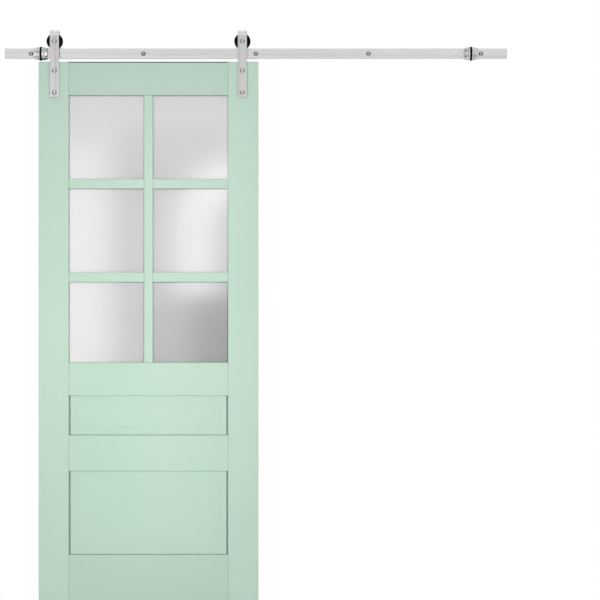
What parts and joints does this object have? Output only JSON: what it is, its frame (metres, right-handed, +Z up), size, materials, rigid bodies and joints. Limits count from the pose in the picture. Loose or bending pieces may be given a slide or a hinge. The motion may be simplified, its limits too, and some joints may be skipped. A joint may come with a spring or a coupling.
{
  "type": "sliding glass panel barn door",
  "caption": "Mint painted sliding barn door with frosted glass lites over raised panels, hung by strap hangers with grooved rollers from a flat steel wall track with end stops.",
  "frame": {"origin": "on the wall plane, on the axis of the track's middle lag screw", "axes": "+X along the track to the right, +Y into the wall, +Z up"},
  "size_m": [1.829, 0.1165, 2.148],
  "materials": {
    "mint_paint": "satin painted engineered wood",
    "frosted_glass": "acid-etched both faces",
    "beech_dowel": "raw turned beech",
    "brushed_track": "brushed along its length",
    "brushed_strap": "brushed along its length",
    "turned_steel": "turned, fine rings",
    "screw_steel": "plain stainless",
    "bearing_steel": "ground",
    "black_nylon": "moulded nylon",
    "black_rubber": "matt rubber"
  },
  "bodies": {
    "track": {"track_bar": "brushed_track", "wall_spacer_1": "turned_steel", "wall_spacer_2": "turned_steel", "wall_spacer_3": "turned_steel", "wall_spacer_4": "turned_steel", "wall_spacer_5": "turned_steel", "lag_screws": "screw_steel", "left_stop_sleeve": "turned_steel", "right_stop_sleeve": "turned_steel", "left_stop_ring": "black_rubber", "right_stop_ring": "black_rubber", "stop_grub_screws": "screw_steel"},
    "door": {"left_stile": "mint_paint", "right_stile": "mint_paint", "top_rail": "mint_paint", "lock_rail": "mint_paint", "middle_rail": "mint_paint", "bottom_rail": "mint_paint", "vertical_bar": "mint_paint", "upper_left_bar": "mint_paint", "upper_right_bar": "mint_paint", "lower_left_bar": "mint_paint", "lower_right_bar": "mint_paint", "upper_panel": "mint_paint", "lower_panel": "mint_paint", "top_left_pane": "frosted_glass", "top_right_pane": "frosted_glass", "middle_left_pane": "frosted_glass", "middle_right_pane": "frosted_glass", "bottom_left_pane": "frosted_glass", "bottom_right_pane": "frosted_glass", "joint_dowels": "beech_dowel", "left_strap": "brushed_strap", "right_strap": "brushed_strap", "strap_bolts": "screw_steel", "strap_nuts": "screw_steel", "left_axle_bolt": "screw_steel", "left_axle_nut": "screw_steel", "right_axle_bolt": "screw_steel", "right_axle_nut": "screw_steel", "left_axle_sleeves": "turned_steel", "right_axle_sleeves": "turned_steel", "left_bearing_inner": "bearing_steel", "right_bearing_inner": "bearing_steel"},
    "left_wheel": {"left_roller": "black_nylon", "left_bearing_outer": "bearing_steel", "left_bearing_balls": "bearing_steel"},
    "right_wheel": {"right_roller": "black_nylon", "right_bearing_outer": "bearing_steel", "right_bearing_balls": "bearing_steel"}
  },
  "joints": [
    {"name": "door_slide", "type": "slide", "parent": "track", "child": "door", "axis": [1, 0, 0], "range_m": [-0.0083, 0.7913]},
    {"name": "left_wheel_spin", "type": "hinge", "parent": "door", "child": "left_wheel", "pos_m": [-0.7335, -0.041, 0.0448], "axis": [0, 1, 0], "continuous": true},
    {"name": "right_wheel_spin", "type": "hinge", "parent": "door", "child": "right_wheel", "pos_m": [-0.0495, -0.041, 0.0448], "axis": [0, 1, 0], "continuous": true}
  ],
  "couplings": [
    {"joint": "left_wheel_spin", "follows": "door_slide", "rad_per_m": 39.216},
    {"joint": "right_wheel_spin", "follows": "door_slide", "rad_per_m": 39.216}
  ]
}
